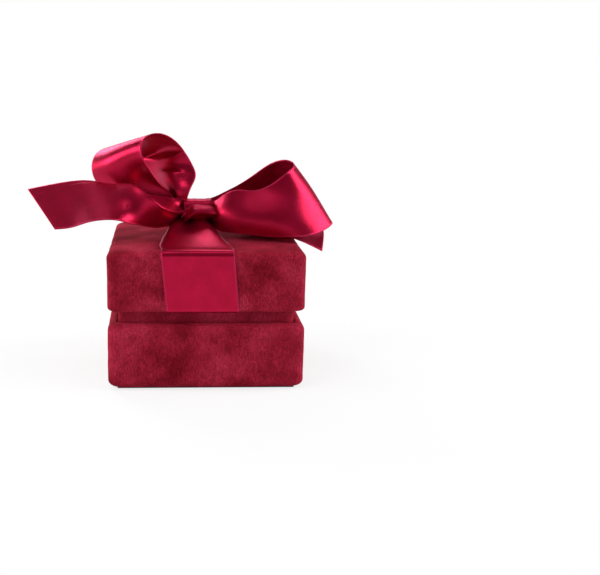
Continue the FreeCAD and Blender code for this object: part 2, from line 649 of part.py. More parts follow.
def band_profile(thickness):
    """Side outline of the band: flat on the lid's edge, down its face and under its rim."""
    face, top, rim = size(half_depth("0")), size(LID_TOP), size(LID_RIM)
    edge, roll, mouth = size("dims.edge_radius"), size("dims.rim_radius"), size(half_depth(LID_CAVITY))
    slant = 2 ** -0.5

    def outline(grow):
        """The band's surface at a height above the velvet, from the lid's top to under its rim."""
        upper, lower = Vector(0, edge - face, top - edge), Vector(0, roll - face, rim + roll)
        wide, tight = edge + grow, roll + grow
        points = [upper + Vector(0, 0, wide), upper + Vector(0, -slant, slant) * wide,
                  upper - Vector(0, wide, 0), lower - Vector(0, tight, 0),
                  lower - Vector(0, slant, slant) * tight, lower - Vector(0, 0, tight)]
        return points + [Vector(0, -mouth, points[-1].z)]

    def curve(points):
        start, bend, face_top, face_end, turn, flat, end = points
        return [Part.Arc(start, bend, face_top).toShape(), Part.makeLine(face_top, face_end),
                Part.Arc(face_end, turn, flat).toShape(), Part.makeLine(flat, end)]

    inner, outer = outline(0), outline(thickness)
    edges = curve(outer) + [Part.makeLine(outer[-1], inner[-1])] + curve(inner)
    edges += [Part.makeLine(inner[0], outer[0])]
    return Part.Face(Part.Wire(Part.__sortEdges__(edges)))


def make_band_half(run, tighten):
    """Half of the band, built at the front; run is its sideways run down the lid's face."""
    width, thickness = size("dims.ribbon_width"), size("dims.ribbon_thickness")
    crease = size("dims.knot_offset") + CREASE_OFFSET
    top, rim, edge = size(LID_TOP), size(LID_RIM), size("dims.edge_radius")
    reach = size(half_depth("0"))
    profile = band_profile(thickness)
    profile.translate(Vector(-size("dims.box_width"), 0, 0))
    strap = profile.extrude(Vector(2 * size("dims.box_width"), 0, 0))
    corners = [(crease, top + edge), (crease, top - edge), (crease + run, rim - edge)]
    left = [Vector(x - width / 2, -2 * reach, z) for x, z in corners]
    right = [Vector(x + width / 2, -2 * reach, z) for x, z in reversed(corners)]
    trim = Part.Face(Part.makePolygon(left + right + [left[0]])).extrude(Vector(0, 2 * reach, 0))
    strap = strap.common(trim)

    tucked = min(size("dims.pleat_thickness"), thickness / GATHER[-1][-1])
    low, high = top + thickness / 2, size(KNOT_BASE) - tucked / 2
    way_in = reach - edge - GATHER_GAP / 2
    stations = []
    for share, rise, aside, opening, folds, shown in GATHER:
        if share > TIGHT_FROM and shown != opening:
            opening, shown = opening * tighten, shown * tighten
        middle = (size("dims.knot_offset") + aside, edge - reach + way_in * share, low + (high - low) * rise)
        stations.append((middle, (1, 0, 0), opening, folds, shown))
    gather = ribbon_solid(stations, Vector(0, 1, 0), Vector(0, 1, 0), GATHER_SPREAD)
    return strap.fuse(gather).removeSplitter()


def make_band():
    front = make_band_half(size("dims.ribbon_slant"), 1)
    back = make_band_half(-size("dims.ribbon_slant"), BACK_TIGHTENED)
    back = back.mirror(Vector(0, 0, 0), Vector(0, 1, 0))
    return [add_ribbon("ribbon_band_front", front), add_ribbon("ribbon_band_back", back)]


# ---------------------------------------------------------------- checks and export
def check_document():
    for item in doc.Objects:
        if {"Invalid", "Error"} & set(item.State):
            raise ValueError(f"{item.Name} did not compute: {item.State}")


def export(parts):
    for part in parts:
        shape = part.Shape
        if shape.isNull() or not shape.isValid() or not shape.Solids:
            raise ValueError(f"{part.Label} is not a valid solid")
    for part in parts:
        part.Shape.exportStep(f"parts/{part.Label}.step")


parts = make_base() + make_collar() + make_pad_half("front") + make_pad_half("back")
parts += make_lid() + make_lid_lining() + make_band() + make_bow()
doc.recompute()
check_document()
export(parts)
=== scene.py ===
import math

import bpy
import numpy as np
from mathutils import Matrix, Vector

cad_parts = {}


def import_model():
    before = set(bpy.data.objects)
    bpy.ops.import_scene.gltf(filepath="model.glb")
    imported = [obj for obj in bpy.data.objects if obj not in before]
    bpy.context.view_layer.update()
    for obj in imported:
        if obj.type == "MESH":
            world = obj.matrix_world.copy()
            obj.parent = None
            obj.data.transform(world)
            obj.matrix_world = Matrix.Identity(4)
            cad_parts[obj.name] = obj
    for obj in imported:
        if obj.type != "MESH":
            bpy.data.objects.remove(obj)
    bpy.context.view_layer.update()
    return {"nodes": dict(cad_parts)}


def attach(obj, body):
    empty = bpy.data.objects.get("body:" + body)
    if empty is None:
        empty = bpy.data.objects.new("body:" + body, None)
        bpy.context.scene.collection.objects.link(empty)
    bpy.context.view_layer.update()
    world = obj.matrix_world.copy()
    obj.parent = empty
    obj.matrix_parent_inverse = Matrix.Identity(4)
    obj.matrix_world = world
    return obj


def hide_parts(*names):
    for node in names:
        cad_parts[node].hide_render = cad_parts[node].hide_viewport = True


# Dresses the velvet ring box: velvet covers, padded ring pad and lid lining, satin ribbon and bow.
# Points are worked out in millimetres in the part's own frame and become metres in add_mesh.

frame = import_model()
MM = 0.001

# ---------------------------------------------------------------- sizes shared with the CAD
HALF = 30.0                 # half the box's width and depth, over the velvet
CORNER = 3.0                # upright corners
EDGE = 2.4                  # soft edges along top and bottom
RIM = 1.2                   # tighter roll of the lid's rim and the neck
COVER = 1.1                 # velvet and wadding
FOOT = 0.5
HEM = 7.0
SHOULDER = 20.8
LID_RIM = 24.6
LID_TOP = 43.0
COLLAR_OUT, COLLAR_IN = 3.0, 6.5      # insets from the outside of the box
COLLAR_TOP = 29.8
COLLAR_SKIN = 0.9
FLOOR_TOP = 3.4
PAD_TOP = 21.8
PAD_SKIN = 0.8
SLIT = 0.8
CAVITY = 2.7                # inset of the lid's mouth
TURN_IN = 3.0
CEILING = 40.4
LINER_SKIN = 0.9
CEILING_PAD = 2.0
RIBBON = 22.0
KNOT = np.array([-2.1, 0.0, 52.5])
KNOT_SIDE = 4.4
KNOT_HALF_DEPTH = 4.0
KNOT_HALF_HEIGHT = 2.7

# ---------------------------------------------------------------- how the covers lie
CLEAR = 0.05                # between a glued cover and its neighbour
AXIS_GAP = 0.05             # a cover's last ring stops this short of the middle and leaves a slit
LONG_WAVE, SHORT_WAVE = 13.0, 5.0     # lengths of the covers' unevenness


# ---------------------------------------------------------------- small tools
def smooth(x):
    x = np.clip(x, 0.0, 1.0)
    return x * x * (3 - 2 * x)


def ripple(points, wavelength, seed, waves=7):
    """Gentle unevenness between about -1 and 1, with no repeat."""
    rng = np.random.default_rng(seed)
    total = np.zeros(len(points))
    for _ in range(waves):
        direction = rng.normal(size=3)
        direction *= 2 * math.pi / (wavelength * rng.uniform(0.7, 1.5) * np.linalg.norm(direction))
        total += np.sin(points @ direction + rng.uniform(0, 2 * math.pi))
    return total / math.sqrt(waves * 2)


def spline(knots, values, at):
    """Natural cubic spline through values (n, k) at the knots."""
    knots, values = np.asarray(knots, float), np.asarray(values, float)
    n, step = len(knots), np.diff(knots)
    system, right = np.eye(n), np.zeros_like(values)
    for i in range(1, n - 1):
        system[i, i - 1:i + 2] = step[i - 1], 2 * (step[i - 1] + step[i]), step[i]
        right[i] = 6 * ((values[i + 1] - values[i]) / step[i] - (values[i] - values[i - 1]) / step[i - 1])
    bend = np.linalg.solve(system, right)
    i = np.clip(np.searchsorted(knots, at) - 1, 0, n - 2)
    h = step[i][:, None]
    a, b = (knots[i + 1] - at)[:, None] / h, (at - knots[i])[:, None] / h
    return (a * values[i] + b * values[i + 1]
            + ((a ** 3 - a) * bend[i] + (b ** 3 - b) * bend[i + 1]) * h ** 2 / 6)


def unit(vectors):
    return vectors / np.maximum(np.linalg.norm(vectors, axis=-1, keepdims=True), 1e-9)


def add_mesh(name, points, faces, body, material, uv=None, replaces=()):
    mesh = bpy.data.meshes.new(name)
    mesh.from_pydata((np.asarray(points) * MM).tolist(), [], [tuple(map(int, f)) for f in faces])
    mesh.validate()
    mesh.polygons.foreach_set("use_smooth", np.ones(len(mesh.polygons), bool))
    if uv is not None:
        layer = mesh.uv_layers.new(name="UVMap")
        corners = np.zeros(len(mesh.loops), int)
        mesh.loops.foreach_get("vertex_index", corners)
        layer.data.foreach_set("uv", (np.asarray(uv)[corners] * MM).astype(np.float32).ravel())
    mesh.materials.append(material)
    mesh.update()
    piece = bpy.data.objects.new(name, mesh)
    bpy.context.scene.collection.objects.link(piece)
    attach(piece, body)
    if replaces:
        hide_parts(*replaces)
    return piece


def outward(points, faces):
    """Vertex normals of a closed mesh."""
    quads = np.asarray(faces)
    normals = np.zeros_like(points)
    across = np.cross(points[quads[:, 2]] - points[quads[:, 0]], points[quads[:, 3]] - points[quads[:, 1]])
    for corner in range(4):
        np.add.at(normals, quads[:, corner], across)
    return unit(normals)


# ---------------------------------------------------------------- materials
def new_material(name):
    material = bpy.data.materials.new(name)
    material.use_nodes = True
    nodes = material.node_tree.nodes
    return material, nodes, nodes["Principled BSDF"], material.node_tree.links


def noise_node(nodes, links, vector, scale, detail=2.0, roughness=0.5):
    noise = nodes.new("ShaderNodeTexNoise")
    noise.inputs["Scale"].default_value = scale
    noise.inputs["Detail"].default_value = detail
    noise.inputs["Roughness"].default_value = roughness
    links.new(vector, noise.inputs["Vector"])
    return noise.outputs["Fac"]


def scaled(nodes, links, vector, scale):
    mapping = nodes.new("ShaderNodeMapping")
    mapping.inputs["Scale"].default_value = scale
    links.new(vector, mapping.inputs["Vector"])
    return mapping.outputs["Vector"]


def ramp(nodes, links, value, stops):
    node = nodes.new("ShaderNodeValToRGB")
    elements = node.color_ramp.elements
    while len(elements) < len(stops):
        elements.new(0.5)
    for element, (position, color) in zip(elements, stops):
        element.position = position
        element.color = (*color, 1.0)
    links.new(value, node.inputs["Fac"])
    return node.outputs["Color"]


def mix_color(nodes, links, factor, a, b, kind="MIX"):
    node = nodes.new("ShaderNodeMix")
    node.data_type = "RGBA"
    node.blend_type = kind
    for socket, value in ((node.inputs["Factor"], factor), (node.inputs["A"], a), (node.inputs["B"], b)):
        if isinstance(value, bpy.types.NodeSocket):
            links.new(value, socket)
        else:
            socket.default_value = value
    return node.outputs["Result"]


def math_node(nodes, links, operation, *values, clamp=False):
    node = nodes.new("ShaderNodeMath")
    node.operation = operation
    node.use_clamp = clamp
    for socket, value in zip(node.inputs, values):
        if isinstance(value, bpy.types.NodeSocket):
            links.new(value, socket)
        else:
            socket.default_value = value
    return node.outputs["Value"]


def blend(nodes, links, a, share_a, b, share_b):
    """Two values added together, each by its share."""
    return math_node(nodes, links, "ADD", math_node(nodes, links, "MULTIPLY", a, share_a),
                     math_node(nodes, links, "MULTIPLY", b, share_b))


def bump(nodes, links, principled, height, distance, strength):
    node = nodes.new("ShaderNodeBump")
    node.inputs["Distance"].default_value = distance
    node.inputs["Strength"].default_value = strength
    links.new(height, node.inputs["Height"])
    links.new(node.outputs["Normal"], principled.inputs["Normal"])


def settings(principled, **values):
    """Sets the shader's own sockets, for what is the same all over the surface."""
    for name, value in values.items():
        principled.inputs[name.replace("_", " ").title()].default_value = value


# scales of noise are in waves per metre, and bump distances in metres
TUFTS, TUFT_ROWS = 3000, (2400, 2400, 700)
PILE_LAY, PILE_BROAD = 120, 38
PILE_BUMP = 0.00035
PILE_SHADES = [(0.36, (0.62, 0.58, 0.60)), (0.5, (1, 1, 1)), (0.66, (1.5, 1.7, 1.6))]


def velvet(name, dark, middle, light, sheen=0.06):
    """Short pile: grains of light and dark tufts, and broad patches where the pile lies over."""
    material, nodes, principled, links = new_material(name)
    place = nodes.new("ShaderNodeTexCoord").outputs["Object"]
    tufts = noise_node(nodes, links, place, TUFTS, 2, 0.6)
    rows = noise_node(nodes, links, scaled(nodes, links, place, TUFT_ROWS), 1.0, 1)
    lay = noise_node(nodes, links, place, PILE_LAY, 3, 0.5)
    broad = noise_node(nodes, links, place, PILE_BROAD, 2)
    patches = blend(nodes, links, lay, 0.65, broad, 0.35)
    pile = ramp(nodes, links, patches, [(0.36, dark), (0.52, middle), (0.68, light)])
    grain = blend(nodes, links, tufts, 0.6, rows, 0.4)
    shade = ramp(nodes, links, grain, PILE_SHADES)
    color = mix_color(nodes, links, 1.0, pile, shade, "MULTIPLY")
    links.new(color, principled.inputs["Base Color"])
    bump(nodes, links, principled, grain, PILE_BUMP, 0.8)
    settings(principled, roughness=0.85, sheen_weight=sheen, sheen_roughness=0.38,
             sheen_tint=(1.0, 0.20, 0.32, 1))
    principled.inputs["Specular IOR Level"].default_value = 0.03
    return material


SELVEDGE = 0.55             # width of the stitched edge
STITCH = 0.52               # length of one stitch
FLOATS, GRAIN, CLOUD = (900, 7000, 1), (2600, 2600, 1), (160, 220, 1)
SATIN_DEEP, SATIN_LIT = (0.37, 0.0020, 0.026), (0.49, 0.0038, 0.045)
STITCH_COLOR = (0.60, 0.022, 0.10, 1)
SMOOTHEST, ROUGHER = 0.27, 0.16       # the satin's least roughness, and how far its grain raises it
SATIN_BUMP = 0.00006


def satin(name):
    """Satin ribbon: lengthwise floats, a soft sheen that breaks up, and a stitched edge."""
    material, nodes, principled, links = new_material(name)
    uv = nodes.new("ShaderNodeUVMap")
    uv.uv_map = "UVMap"
    place = uv.outputs["UV"]
    split = nodes.new("ShaderNodeSeparateXYZ")
    links.new(place, split.inputs["Vector"])
    floats = noise_node(nodes, links, scaled(nodes, links, place, FLOATS), 1.0, 3, 0.6)
    grain = noise_node(nodes, links, scaled(nodes, links, place, GRAIN), 1.0, 2, 0.6)
    cloud = noise_node(nodes, links, scaled(nodes, links, place, CLOUD), 1.0, 2)
    # stitches show only within the selvedge; Y runs across the ribbon from its middle
    across = math_node(nodes, links, "ABSOLUTE", split.outputs["Y"])
    edge = math_node(nodes, links, "GREATER_THAN", across, (RIBBON / 2 - SELVEDGE) * MM)
    turn = math_node(nodes, links, "MULTIPLY", split.outputs["X"], 2 * math.pi / (STITCH * MM))
    wave = math_node(nodes, links, "SINE", turn)
    bulge = math_node(nodes, links, "ADD", math_node(nodes, links, "MULTIPLY", wave, 0.5), 0.5)
    stitch = math_node(nodes, links, "MULTIPLY", edge, bulge)
    weave = blend(nodes, links, floats, 0.5, cloud, 0.5)
    body = ramp(nodes, links, weave, [(0.35, SATIN_DEEP), (0.65, SATIN_LIT)])
    color = mix_color(nodes, links, stitch, body, STITCH_COLOR)
    links.new(color, principled.inputs["Base Color"])
    raised = math_node(nodes, links, "MULTIPLY", grain, ROUGHER)
    links.new(math_node(nodes, links, "ADD", raised, SMOOTHEST), principled.inputs["Roughness"])
    cloth = blend(nodes, links, floats, 0.6, grain, 0.4)
    height = math_node(nodes, links, "ADD", cloth, math_node(nodes, links, "MULTIPLY", stitch, 0.9))
    bump(nodes, links, principled, height, SATIN_BUMP, 0.8)
    tangent = nodes.new("ShaderNodeTangent")
    tangent.direction_type = "UV_MAP"
    tangent.uv_map = "UVMap"
    links.new(tangent.outputs["Tangent"], principled.inputs["Tangent"])
    settings(principled, metallic=0.82, anisotropic=0.6, anisotropic_rotation=0.25,
             specular_tint=(1.0, 0.55, 0.7, 1), coat_weight=0.05, coat_roughness=0.32)
    principled.inputs["Specular IOR Level"].default_value = 0.5
    return material


def fibrous(name, low, high, scale, distance, roughness=0.9):
    """Board, paper or foam: a fine mottle with a matching bump."""
    material, nodes, principled, links = new_material(name)
    place = nodes.new("ShaderNodeTexCoord").outputs["Object"]
    mottle = noise_node(nodes, links, place, scale, 5, 0.65)
    links.new(ramp(nodes, links, mottle, [(0.35, low), (0.65, high)]), principled.inputs["Base Color"])
    bump(nodes, links, principled, mottle, distance, 0.6)
    settings(principled, roughness=roughness)
    return material


VELVET = velvet("velvet_outside", (0.165, 0.0042, 0.0125), (0.285, 0.0115, 0.0300), (0.400, 0.0230, 0.0550))
LINING = velvet("velvet_lining", (0.120, 0.0028, 0.0090), (0.205, 0.0075, 0.0210), (0.300, 0.0150, 0.0400),
                sheen=0.45)
SATIN = satin("satin_ribbon")
BOARD = fibrous("grey_board", (0.36, 0.31, 0.25), (0.50, 0.44, 0.36), 900, 0.00008)
FOAM = fibrous("pad_foam", (0.66, 0.64, 0.58), (0.82, 0.80, 0.74), 1500, 0.00025)
# the foot sheet is near black: where it shows below the box's bottom edge, it is painted shade, the dark line
# under the box
FOOT_PAPER_AND_SHADE = fibrous("foot_paper", (0.020, 0.018, 0.018), (0.055, 0.050, 0.050), 1300, 0.00005, 0.75)


# ---------------------------------------------------------------- covers swept round the box
SIDE_POINTS, CORNER_POINTS = 72, 12
SHARPEST, ROUNDEST = 0.10, 0.98       # corner radius as a share of a ring's half width, least and most
LEAST_RADIUS = 0.02


def ring(half_x, half_y, radius, z):
    """A rounded rectangle round the box's axis, anticlockwise from the front left corner's end."""
    turns = np.linspace(0, math.pi / 2, CORNER_POINTS, endpoint=False)
    run = np.linspace(0, 1, SIDE_POINTS, endpoint=False)[:, None]
    points = []
    corners = [(1, -1), (1, 1), (-1, 1), (-1, -1)]
    for quarter, (sx, sy) in enumerate(corners):
        centre = np.array([sx * (half_x - radius), sy * (half_y - radius)])
        angle = (quarter - 1) * math.pi / 2 + turns
        arc = centre + radius * np.stack([np.cos(angle), np.sin(angle)], 1)
        after = (quarter + 1) % 4
        next_centre = np.array([corners[after][0] * (half_x - radius), corners[after][1] * (half_y - radius)])
        leave = quarter * math.pi / 2
        normal = np.array([math.cos(leave), math.sin(leave)]) * radius
        side = centre + normal + (next_centre - centre) * run
        points += [arc, side]
    flat = np.concatenate(points)
    return np.column_stack([flat, np.full(len(flat), z)])


def arc_profile(centre, radius, start, end, count):
    """Points (inset, height) on an arc; angles in degrees, 180 faces outwards and 90 faces up."""
    turn = np.radians(np.linspace(start, end, count))
    return [(centre[0] + radius * math.cos(a), centre[1] + radius * math.sin(a)) for a in turn]


def line_profile(start, end, count):
    """Points from start up to, but not including, end."""
    return [tuple(np.array(start) + (np.array(end) - np.array(start)) * k / count) for k in range(count)]


def sweep(profile, half=(HALF, HALF), corner=CORNER, closed=True):
    """Rings of a profile of (inset, height). One that isn't closed keeps an open slit at each end."""
    rings = []
    for inset, z in profile:
        hx, hy = half[0] - inset, half[1] - inset
        radius = max(corner - inset, SHARPEST * min(hx, hy), LEAST_RADIUS)
        rings.append(ring(hx, hy, min(radius, min(hx, hy) * ROUNDEST), z))
    around = len(rings[0])
    points = np.concatenate(rings)
    column = np.arange(around)
    after = (column + 1) % around
    faces = []
    count = len(rings)
    for row in range(count if closed else count - 1):
        here, there = row * around, ((row + 1) % count) * around
        faces.append(np.column_stack([here + column, here + after, there + after, there + column]))
    return points, np.concatenate(faces)


def soften(points, faces, seed, crown=0.0, level=None, rough=0.10):
    """Hand-wrapped fabric: faces between the two levels swell in their middles and none is quite flat."""
    normals = outward(points, faces)
    swell = np.zeros(len(points))
    if crown:
        x, y = points[:, 0] / HALF, points[:, 1] / HALF
        low, high = level
        rise = np.clip((points[:, 2] - low) / (high - low), 0, 1)
        side = (1 - np.clip(np.minimum(abs(x), abs(y)), 0, 1) ** 2) * np.sin(math.pi * rise)
        outer = smooth((np.maximum(abs(x), abs(y)) - 0.9) / 0.08)
        swell += crown * side * outer
    uneven = 0.6 * ripple(points, LONG_WAVE, seed) + 0.4 * ripple(points, SHORT_WAVE, seed + 1)
    return points + normals * (swell + rough * uneven)[:, None]


LIP_ROLL = 0.35             # the turned edge rolls down this far from the neck
LIP_DEPTHS = 0.06, 0.5, 1.2           # down the roll, from its top to where the velvet ends
TUCK_CLEAR = 0.04           # between the tucked end and the neck
WANDER, WANDER_WAVE = 0.14, 3.2       # the turned edge along the neck isn't cut quite straight


def base_cover():
    """Velvet under the floor, up the walls, over the shoulder and down to the neck."""
    high, middle, low = [SHOULDER - depth for depth in LIP_DEPTHS]
    profile = (
        line_profile((HEM, FOOT + 0.1), (EDGE, FOOT), 8)
        + arc_profile((EDGE, FOOT + EDGE), EDGE, 270, 180, 10)
        + line_profile((0, FOOT + EDGE), (0, SHOULDER - EDGE), 26)[1:]
        + arc_profile((EDGE, SHOULDER - EDGE), EDGE, 180, 100, 10)
        + [(COLLAR_OUT - LIP_ROLL, high), (COLLAR_OUT - CLEAR, middle), (COLLAR_OUT - TUCK_CLEAR, low)]
        + arc_profile((EDGE, SHOULDER - EDGE), EDGE - COVER, 90, 180, 6)
        + line_profile((COVER, SHOULDER - EDGE), (COVER, FOOT + EDGE), 6)[1:]
        + arc_profile((EDGE, FOOT + EDGE), EDGE - COVER, 180, 270, 6)
        + [(HEM, FOOT + COVER)]
    )
    points, faces = sweep(profile)
    points = soften(points, faces, seed=11, crown=0.28, level=(FOOT, SHOULDER), rough=0.11)
    near_neck = smooth((np.minimum(HALF - abs(points[:, 0]), HALF - abs(points[:, 1])) - 1.6) / 0.8)
    top = smooth((points[:, 2] - SHOULDER + 1.4) / 1.0)
    points[:, 2] += near_neck * top * WANDER * ripple(points, WANDER_WAVE, 21)
    return add_mesh("base_velvet", points, faces, "base", VELVET, replaces=["base_cover"])


def collar_cover():
    """Velvet down both faces of the neck and over its rim."""
    foot, crest = FLOOR_TOP + CLEAR, COLLAR_TOP - RIM
    under = COLLAR_TOP - COLLAR_SKIN
    profile = (
        line_profile((COLLAR_OUT, foot), (COLLAR_OUT, crest), 30)
        + arc_profile((COLLAR_OUT + RIM, crest), RIM, 180, 90, 7)
        + arc_profile((COLLAR_IN - RIM, crest), RIM, 90, 0, 7)
        + line_profile((COLLAR_IN, crest), (COLLAR_IN, foot), 30)[1:]
        + [(COLLAR_IN - COLLAR_SKIN, foot), (COLLAR_IN - COLLAR_SKIN, under),
           (COLLAR_OUT + COLLAR_SKIN, under), (COLLAR_OUT + COLLAR_SKIN, foot)]
    )
    points, faces = sweep(profile)
    points = soften(points, faces, seed=31, rough=0.07)
    return add_mesh("neck_velvet", points, faces, "base", VELVET,
                    replaces=["collar_cover"])


MOUTH_ROLL = 0.35           # radius of the velvet's turn into the lid's mouth
LID_CROWN = 0.35            # the lid's top is padded this much higher in its middle


def lid_cover():
    """Velvet over the lid's top and sides, rolled round the rim and glued inside it."""
    under = LID_TOP - COVER
    profile = (
        line_profile((HALF - AXIS_GAP, LID_TOP), (EDGE, LID_TOP), 44)
        + arc_profile((EDGE, LID_TOP - EDGE), EDGE, 90, 180, 12)
        + line_profile((0, LID_TOP - EDGE), (0, LID_RIM + RIM), 24)[1:]
        + arc_profile((RIM, LID_RIM + RIM), RIM, 180, 270, 8)
        + line_profile((RIM, LID_RIM), (CAVITY - MOUTH_ROLL, LID_RIM), 4)[1:]
        + arc_profile((CAVITY - MOUTH_ROLL, LID_RIM + MOUTH_ROLL), MOUTH_ROLL, 270, 360, 4)
        + line_profile((CAVITY, LID_RIM + 0.4), (CAVITY, COLLAR_TOP), 8)
        + [(CAVITY, COLLAR_TOP), (TURN_IN - 0.02, COLLAR_TOP), (TURN_IN - 0.02, LID_RIM + COVER),
           (COVER, LID_RIM + COVER), (COVER, LID_TOP - EDGE)]
        + arc_profile((EDGE, LID_TOP - EDGE), EDGE - COVER, 180, 90, 6)[1:]
        + line_profile((EDGE, under), (HALF - AXIS_GAP, under), 8)[1:]
        + [(HALF - AXIS_GAP, under)]
    )
    points, faces = sweep(profile)
    top = points[:, 2] > LID_TOP - 0.01
    centre = np.maximum(abs(points[:, 0]), abs(points[:, 1])) / (HALF - EDGE)
    points[top, 2] += LID_CROWN * (1 - np.clip(centre[top], 0, 1) ** 2)
    points = soften(points, faces, seed=51, crown=0.26, level=(LID_RIM, LID_TOP), rough=0.11)
    return add_mesh("lid_velvet", points, faces, "lid", VELVET, replaces=["lid_cover"])


LINER_ROLL = 0.5            # radius of the lining's lower edge


def liner_cover():
    """Velvet over the lining blocks, on their inner faces and where the lid rests on the neck."""
    block = COLLAR_IN - LINER_SKIN
    rest = COLLAR_TOP + 0.02
    under = COLLAR_TOP + LINER_SKIN
    profile = (
        line_profile((TURN_IN, rest), (COLLAR_IN - LINER_ROLL, rest), 6)
        + arc_profile((COLLAR_IN - LINER_ROLL, rest + LINER_ROLL), LINER_ROLL, 270, 360, 6)
        + line_profile((COLLAR_IN, rest + LINER_ROLL), (COLLAR_IN, CEILING), 16)[1:]
        + [(COLLAR_IN, CEILING), (block, CEILING), (block, under), (TURN_IN, under)]
    )
    points, faces = sweep(profile)
    points = points + outward(points, faces) * (0.05 * ripple(points, 6.0, 71))[:, None]
    points[:, 2] = np.maximum(points[:, 2], COLLAR_TOP + 0.01)
    return add_mesh("lid_lining", points, faces, "lid", LINING,
                    replaces=["lid_liner_cover"])


# ---------------------------------------------------------------- cushions
BOTTOM_INSET, BOTTOM_RISE = 0.4, 0.3  # a cushion's lower edge is cut off slantwise
CUSHION_CORNER = 1.2
PULL, PULL_WAVE = 0.10, 7.0           # height and length of the pull marks


def cushion(name, centre, half, bottom, top, roll, crown, seed, body, material, node,
            upside_down=False):
    """A padded block: crowned, rolled over along all its upper edges, with soft pull marks."""
    height = top - bottom
    inmost = min(half) - AXIS_GAP
    profile = (
        line_profile((inmost, 0), (BOTTOM_INSET, 0), 6)
        + line_profile((0.0, BOTTOM_RISE), (0.0, height - roll), 8)
        + arc_profile((roll, height - roll), roll, 180, 90, 9)
        + line_profile((roll, height), (inmost, height), 26)[1:]
        + [(inmost, height)]
    )
    points, faces = sweep(profile, half, corner=CUSHION_CORNER, closed=False)
    upper = smooth((points[:, 2] - height * 0.55) / (height * 0.4))
    u, v = points[:, 0] / half[0], points[:, 1] / half[1]
    swell = np.clip((1 - u ** 4) * (1 - v ** 2), 0, 1)
    points[:, 2] += upper * (crown * (swell - 0.35) + PULL * ripple(points, PULL_WAVE, seed) * swell)
    normals = outward(points, faces)
    points = points + normals * (0.04 * ripple(points, 3.0, seed + 5))[:, None]
    if upside_down:
        points[:, 2] = top - points[:, 2]
        faces = faces[:, ::-1]
    else:
        points[:, 2] += bottom
    points[:, :2] += centre
    return add_mesh(name, points, faces, body, material, replaces=[node])


def ring_pad():
    inner = HALF - COLLAR_IN
    depth = (inner - SLIT / 2) / 2
    for side, sign in (("front", -1), ("back", 1)):
        middle = np.array([0.0, sign * (SLIT / 2 + depth)])
        foam = cushion(f"ring_pad_{side}_stuffing", middle, (inner - PAD_SKIN, depth - PAD_SKIN),
                       FLOOR_TOP + 0.02, PAD_TOP - PAD_SKIN, roll=1.6, crown=0.5, seed=81,
                       body="base", material=FOAM, node=f"ring_pad_{side}_foam")
        cover = cushion(f"ring_pad_{side}_velvet", middle, (inner - CLEAR, depth),
                        FLOOR_TOP + 0.01, PAD_TOP, roll=2.4, crown=0.9, seed=91 + sign,
                        body="base", material=LINING,
                        node=f"ring_pad_{side}_cover")


def ceiling_pad():
    inner = HALF - COLLAR_IN - CLEAR
    pad = cushion("lid_ceiling_cushion", np.zeros(2), (inner, inner), CEILING - CEILING_PAD, CEILING,
                  roll=1.0, crown=0.5, seed=101, body="lid",
                  material=LINING, node="lid_ceiling_pad", upside_down=True)


# ---------------------------------------------------------------- ribbon
THICKNESS = 0.24
BEAD = 0.08                 # the woven edge is this much thicker
BEAD_PLACE, BEAD_WIDTH = 0.25, 0.22   # in from the cut edge, and how wide
MODES = 6
FLAT = (0, 0, 0, 0, 0, 0, 0, 0.5)       # fold weights: six modes, then a ridge and where it lies


def strip(name, surface, body, nodes, cut=RIBBON):
    """A closed thin ribbon from its middle surface (along, across, 3), with a thicker woven edge."""
    along, across = surface.shape[:2]
    du = np.gradient(surface, axis=0)
    dv = np.gradient(surface, axis=1)
    normal = unit(np.cross(du, dv))
    travel = np.zeros((along, across))
    travel[1:] = np.cumsum(np.linalg.norm(np.diff(surface, axis=0), axis=2), axis=0)
    travel = np.repeat(travel.mean(1, keepdims=True), across, axis=1)
    share = np.linspace(-0.5, 0.5, across)[None, :]
    from_edge = (0.5 - abs(share)) * cut
    thick = THICKNESS / 2 + BEAD / 2 * np.exp(-((from_edge - BEAD_PLACE) / BEAD_WIDTH) ** 2)
    upper = surface + normal * thick[..., None]
    lower = surface - normal * thick[..., None]
    points = np.concatenate([upper.reshape(-1, 3), lower.reshape(-1, 3)])
    flat = np.stack([travel, np.broadcast_to(share * RIBBON, travel.shape)], -1).reshape(-1, 2)
    index = np.arange(along * across).reshape(along, across)
    low = index + along * across
    faces = [
        np.stack([index[:-1, :-1], index[1:, :-1], index[1:, 1:], index[:-1, 1:]], -1).reshape(-1, 4),
        np.stack([low[:-1, :-1], low[:-1, 1:], low[1:, 1:], low[1:, :-1]], -1).reshape(-1, 4),
        np.stack([index[:-1, 0], low[:-1, 0], low[1:, 0], index[1:, 0]], -1),
        np.stack([index[:-1, -1], index[1:, -1], low[1:, -1], low[:-1, -1]], -1),
        np.stack([index[0, :-1], index[0, 1:], low[0, 1:], low[0, :-1]], -1),
        np.stack([index[-1, :-1], low[-1, :-1], low[-1, 1:], index[-1, 1:]], -1),
    ]
    piece = add_mesh(name, points, np.concatenate(faces), body, SATIN,
                     uv=np.concatenate([flat, flat]), replaces=nodes)
    return piece


RIDGE_SOFTNESS = 0.08
EDGE_FADE = 0.06            # share of the width over which a ridge fades out at the ribbon's edges
DEEPEST = 9.0               # no fold is deeper than this
HALVINGS = 40
DEPTH_BLUR, WEIGHT_BLUR = 22, 40      # a fold's depth and weights are smoothed over one part in these


def blurred(values, reach):
    """Values along a ribbon, smoothed over reach places each way."""
    bell = np.exp(-(np.arange(-2 * reach, 2 * reach + 1) / reach) ** 2)
    return np.convolve(np.pad(values, 2 * reach, mode="edge"), bell / bell.sum(), mode="valid")


